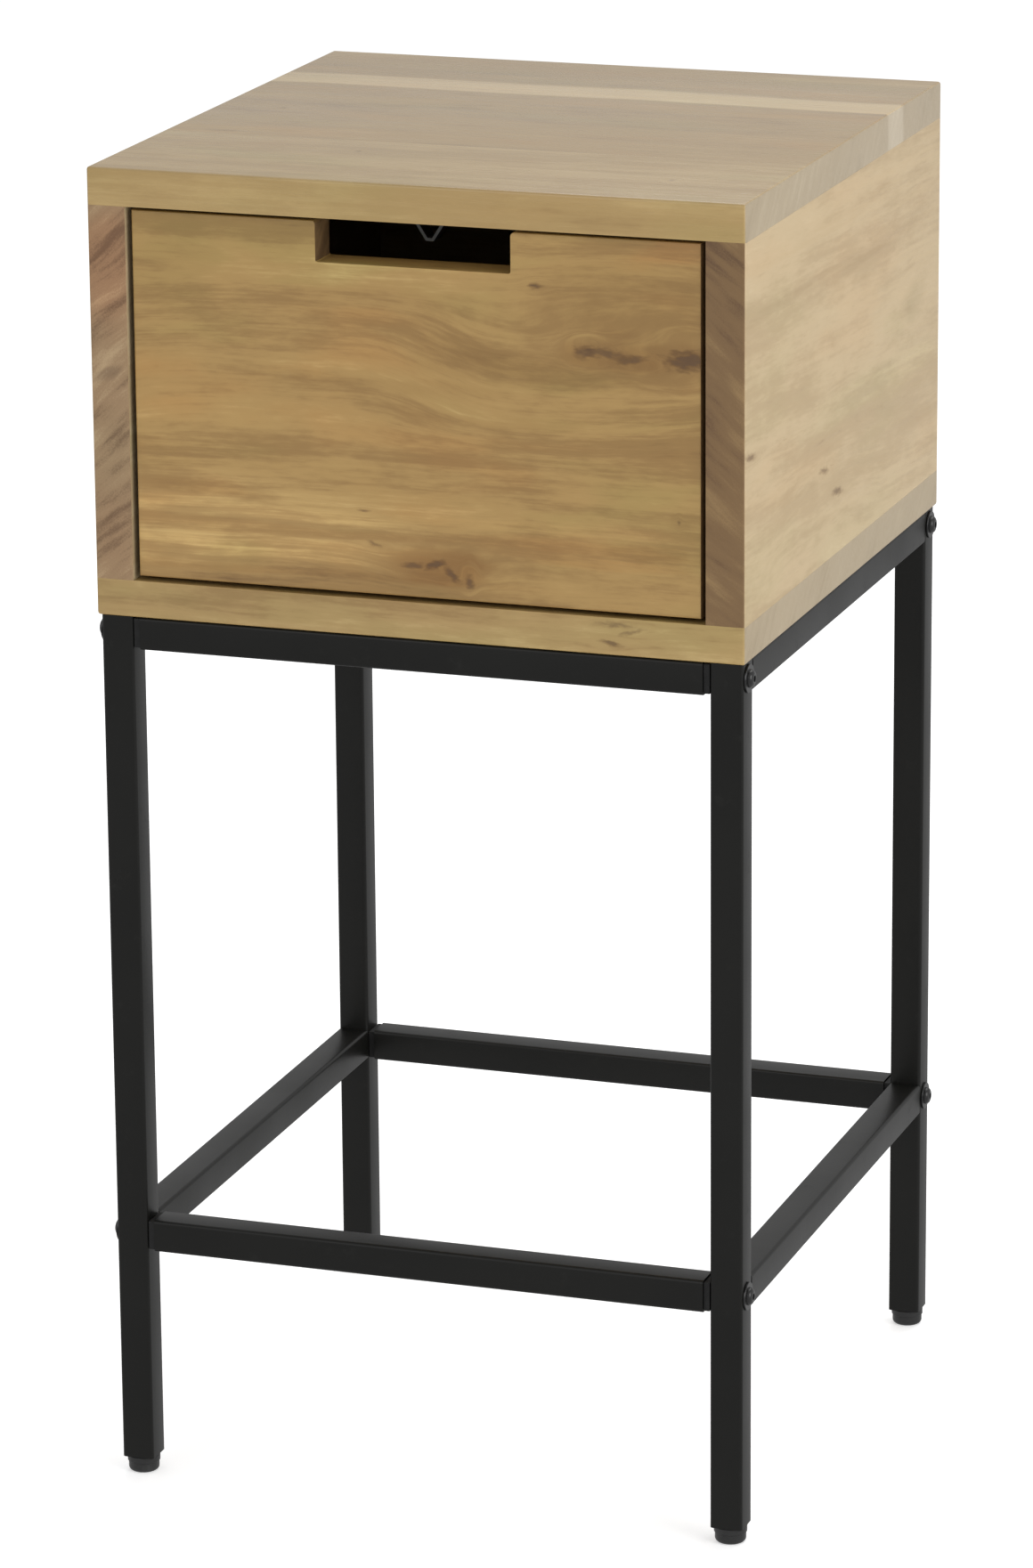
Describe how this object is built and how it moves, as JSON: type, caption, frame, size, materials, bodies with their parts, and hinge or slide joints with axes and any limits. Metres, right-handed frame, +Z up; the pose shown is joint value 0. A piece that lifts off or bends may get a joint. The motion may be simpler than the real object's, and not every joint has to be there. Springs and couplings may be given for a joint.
{
  "type": "side table with drawer",
  "caption": "Tall narrow side table: a solid-wood box with an inset drawer and finger notch, on a bolted black square-tube steel frame with low rails.",
  "frame": {"origin": "on the floor under the middle of the table", "axes": "+Z up, -Y towards the drawer front, +X to the right of someone facing the drawer front"},
  "size_m": [0.344, 0.35, 0.69],
  "materials": {
    "box_board": "satin oiled solid wood, glued-up strips, grain along X",
    "side_board": "satin oiled solid wood, grain front to back, dark end grain at the front",
    "drawer_front_board": "satin oiled solid wood, grain along X",
    "drawer_box_board": "sanded solid wood",
    "ply": "sanded plywood",
    "frame_steel": "satin black powder coat",
    "black_hardware": "black oxide",
    "black_plug": "moulded, matt",
    "black_glide": "moulded, satin",
    "zinc_steel": "bright zinc plate"
  },
  "bodies": {
    "table": {"back_panel": "ply", "bottom_board": "box_board", "box_screw_back_left": "zinc_steel", "box_screw_back_right": "zinc_steel", "box_screw_front_left": "zinc_steel", "box_screw_front_right": "zinc_steel", "cross_bolt_lower_back_left": "black_hardware", "cross_bolt_lower_back_right": "black_hardware", "cross_bolt_lower_front_left": "black_hardware", "cross_bolt_lower_front_right": "black_hardware", "cross_bolt_upper_back_left": "black_hardware", "cross_bolt_upper_back_right": "black_hardware", "cross_bolt_upper_front_left": "black_hardware", "cross_bolt_upper_front_right": "black_hardware", "cross_insert_lower_back_left": "black_plug", "cross_insert_lower_back_right": "black_plug", "cross_insert_lower_front_left": "black_plug", "cross_insert_lower_front_right": "black_plug", "cross_insert_upper_back_left": "black_plug", "cross_insert_upper_back_right": "black_plug", "cross_insert_upper_front_left": "black_plug", "cross_insert_upper_front_right": "black_plug", "cross_washer_lower_back_left": "black_hardware", "cross_washer_lower_back_right": "black_hardware", "cross_washer_lower_front_left": "black_hardware", "cross_washer_lower_front_right": "black_hardware", "cross_washer_upper_back_left": "black_hardware", "cross_washer_upper_back_right": "black_hardware", "cross_washer_upper_front_left": "black_hardware", "cross_washer_upper_front_right": "black_hardware", "foot_back_left": "black_glide", "foot_back_right": "black_glide", "foot_front_left": "black_glide", "foot_front_right": "black_glide", "leg_back_left": "frame_steel", "leg_back_right": "frame_steel", "leg_front_left": "frame_steel", "leg_front_right": "frame_steel", "lower_cross_rail_back": "frame_steel", "lower_cross_rail_front": "frame_steel", "lower_side_rail_left": "frame_steel", "lower_side_rail_right": "frame_steel", "runner_left": "side_board", "runner_right": "side_board", "side_panel_left": "side_board", "side_panel_right": "side_board", "stop_screw_left": "zinc_steel", "stop_screw_right": "zinc_steel", "stop_strap": "zinc_steel", "top_board": "box_board", "upper_cross_rail_back": "frame_steel", "upper_cross_rail_front": "frame_steel", "upper_side_rail_left": "frame_steel", "upper_side_rail_right": "frame_steel"},
    "drawer": {"drawer_back": "drawer_box_board", "drawer_bottom": "ply", "drawer_front": "drawer_front_board", "drawer_side_left": "drawer_box_board", "drawer_side_right": "drawer_box_board"}
  },
  "joints": [
    {"name": "drawer_slide", "type": "slide", "parent": "table", "child": "drawer", "axis": [0, -1, 0], "range_m": [0, 0.2865]}
  ]
}
